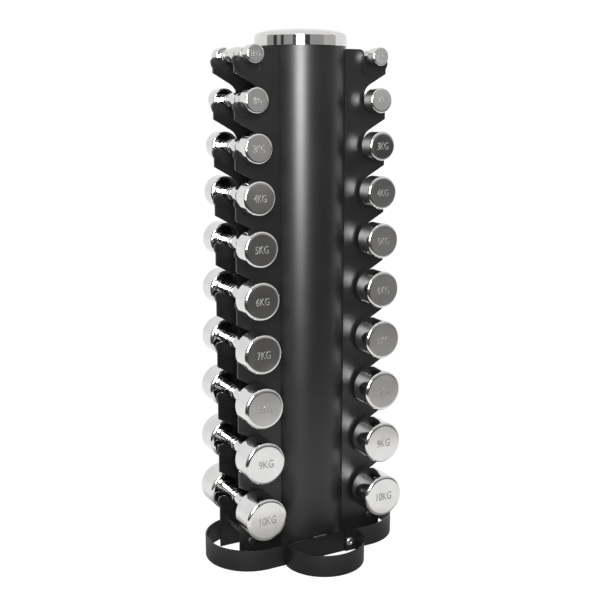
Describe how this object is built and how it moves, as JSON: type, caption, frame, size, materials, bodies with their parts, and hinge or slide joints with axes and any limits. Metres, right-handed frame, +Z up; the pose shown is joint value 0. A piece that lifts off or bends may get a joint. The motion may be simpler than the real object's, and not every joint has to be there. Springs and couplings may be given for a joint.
{
  "type": "dumbbell rack",
  "caption": "Vertical dumbbell rack: round column with comb-shaped wing plates, plastic saddles, looped steel base and pairs of chrome dumbbells that lift out.",
  "frame": {"origin": "on the floor, on the column's axis, centre of the base", "axes": "+Z up; -Y is the front, where the numbers on the heads are read; +X is the right side seen from the front"},
  "size_m": [0.4996, 0.4332, 1.2508],
  "materials": {
    "black_coat": "satin black powder coat",
    "chrome": "polished chrome plate",
    "black_plastic": "moulded, matt",
    "bolt_steel": "bright zinc plate"
  },
  "bodies": {
    "rack": {"column_tube": "black_coat", "cap": "chrome", "front_left_wing": "black_coat", "front_right_wing": "black_coat", "rear_left_wing": "black_coat", "rear_right_wing": "black_coat", "front_left_saddle_01": "black_plastic", "front_left_saddle_02": "black_plastic", "front_left_saddle_03": "black_plastic", "front_left_saddle_04": "black_plastic", "front_left_saddle_05": "black_plastic", "front_left_saddle_06": "black_plastic", "front_left_saddle_07": "black_plastic", "front_left_saddle_08": "black_plastic", "front_left_saddle_09": "black_plastic", "front_left_saddle_10": "black_plastic", "front_right_saddle_01": "black_plastic", "front_right_saddle_02": "black_plastic", "front_right_saddle_03": "black_plastic", "front_right_saddle_04": "black_plastic", "front_right_saddle_05": "black_plastic", "front_right_saddle_06": "black_plastic", "front_right_saddle_07": "black_plastic", "front_right_saddle_08": "black_plastic", "front_right_saddle_09": "black_plastic", "front_right_saddle_10": "black_plastic", "rear_left_saddle_strip": "black_plastic", "rear_right_saddle_strip": "black_plastic", "base_band": "black_coat", "front_foot_loop": "black_coat", "rear_foot_loop": "black_coat", "front_left_foot_bolt": "bolt_steel", "front_right_foot_bolt": "bolt_steel", "rear_left_foot_bolt": "bolt_steel", "rear_right_foot_bolt": "bolt_steel", "left_tie_rod": "bolt_steel", "right_tie_rod": "bolt_steel", "left_tie_sleeve": "black_coat", "right_tie_sleeve": "black_coat"},
    "dumbbell_left_01kg": {"dumbbell_left_01kg": "chrome"},
    "dumbbell_left_02kg": {"dumbbell_left_02kg": "chrome"},
    "dumbbell_left_03kg": {"dumbbell_left_03kg": "chrome"},
    "dumbbell_left_04kg": {"dumbbell_left_04kg": "chrome"},
    "dumbbell_left_05kg": {"dumbbell_left_05kg": "chrome"},
    "dumbbell_left_06kg": {"dumbbell_left_06kg": "chrome"},
    "dumbbell_left_07kg": {"dumbbell_left_07kg": "chrome"},
    "dumbbell_left_08kg": {"dumbbell_left_08kg": "chrome"},
    "dumbbell_left_09kg": {"dumbbell_left_09kg": "chrome"},
    "dumbbell_left_10kg": {"dumbbell_left_10kg": "chrome"},
    "dumbbell_right_01kg": {"dumbbell_right_01kg": "chrome"},
    "dumbbell_right_02kg": {"dumbbell_right_02kg": "chrome"},
    "dumbbell_right_03kg": {"dumbbell_right_03kg": "chrome"},
    "dumbbell_right_04kg": {"dumbbell_right_04kg": "chrome"},
    "dumbbell_right_05kg": {"dumbbell_right_05kg": "chrome"},
    "dumbbell_right_06kg": {"dumbbell_right_06kg": "chrome"},
    "dumbbell_right_07kg": {"dumbbell_right_07kg": "chrome"},
    "dumbbell_right_08kg": {"dumbbell_right_08kg": "chrome"},
    "dumbbell_right_09kg": {"dumbbell_right_09kg": "chrome"},
    "dumbbell_right_10kg": {"dumbbell_right_10kg": "chrome"}
  },
  "joints": [
    {"name": "dumbbell_left_01kg_lift", "type": "slide", "parent": "rack", "child": "dumbbell_left_01kg", "axis": [-0.866, 0, 0.5], "range_m": [0, 0.12]},
    {"name": "dumbbell_left_02kg_lift", "type": "slide", "parent": "rack", "child": "dumbbell_left_02kg", "axis": [-0.866, 0, 0.5], "range_m": [0, 0.12]},
    {"name": "dumbbell_left_03kg_lift", "type": "slide", "parent": "rack", "child": "dumbbell_left_03kg", "axis": [-0.866, 0, 0.5], "range_m": [0, 0.12]},
    {"name": "dumbbell_left_04kg_lift", "type": "slide", "parent": "rack", "child": "dumbbell_left_04kg", "axis": [-0.866, 0, 0.5], "range_m": [0, 0.12]},
    {"name": "dumbbell_left_05kg_lift", "type": "slide", "parent": "rack", "child": "dumbbell_left_05kg", "axis": [-0.866, 0, 0.5], "range_m": [0, 0.12]},
    {"name": "dumbbell_left_06kg_lift", "type": "slide", "parent": "rack", "child": "dumbbell_left_06kg", "axis": [-0.866, 0, 0.5], "range_m": [0, 0.12]},
    {"name": "dumbbell_left_07kg_lift", "type": "slide", "parent": "rack", "child": "dumbbell_left_07kg", "axis": [-0.866, 0, 0.5], "range_m": [0, 0.12]},
    {"name": "dumbbell_left_08kg_lift", "type": "slide", "parent": "rack", "child": "dumbbell_left_08kg", "axis": [-0.866, 0, 0.5], "range_m": [0, 0.12]},
    {"name": "dumbbell_left_09kg_lift", "type": "slide", "parent": "rack", "child": "dumbbell_left_09kg", "axis": [-0.866, 0, 0.5], "range_m": [0, 0.12]},
    {"name": "dumbbell_left_10kg_lift", "type": "slide", "parent": "rack", "child": "dumbbell_left_10kg", "axis": [-0.866, 0, 0.5], "range_m": [0, 0.12]},
    {"name": "dumbbell_right_01kg_lift", "type": "slide", "parent": "rack", "child": "dumbbell_right_01kg", "axis": [0.866, 0, 0.5], "range_m": [0, 0.12]},
    {"name": "dumbbell_right_02kg_lift", "type": "slide", "parent": "rack", "child": "dumbbell_right_02kg", "axis": [0.866, 0, 0.5], "range_m": [0, 0.12]},
    {"name": "dumbbell_right_03kg_lift", "type": "slide", "parent": "rack", "child": "dumbbell_right_03kg", "axis": [0.866, 0, 0.5], "range_m": [0, 0.12]},
    {"name": "dumbbell_right_04kg_lift", "type": "slide", "parent": "rack", "child": "dumbbell_right_04kg", "axis": [0.866, 0, 0.5], "range_m": [0, 0.12]},
    {"name": "dumbbell_right_05kg_lift", "type": "slide", "parent": "rack", "child": "dumbbell_right_05kg", "axis": [0.866, 0, 0.5], "range_m": [0, 0.12]},
    {"name": "dumbbell_right_06kg_lift", "type": "slide", "parent": "rack", "child": "dumbbell_right_06kg", "axis": [0.866, 0, 0.5], "range_m": [0, 0.12]},
    {"name": "dumbbell_right_07kg_lift", "type": "slide", "parent": "rack", "child": "dumbbell_right_07kg", "axis": [0.866, 0, 0.5], "range_m": [0, 0.12]},
    {"name": "dumbbell_right_08kg_lift", "type": "slide", "parent": "rack", "child": "dumbbell_right_08kg", "axis": [0.866, 0, 0.5], "range_m": [0, 0.12]},
    {"name": "dumbbell_right_09kg_lift", "type": "slide", "parent": "rack", "child": "dumbbell_right_09kg", "axis": [0.866, 0, 0.5], "range_m": [0, 0.12]},
    {"name": "dumbbell_right_10kg_lift", "type": "slide", "parent": "rack", "child": "dumbbell_right_10kg", "axis": [0.866, 0, 0.5], "range_m": [0, 0.12]}
  ]
}
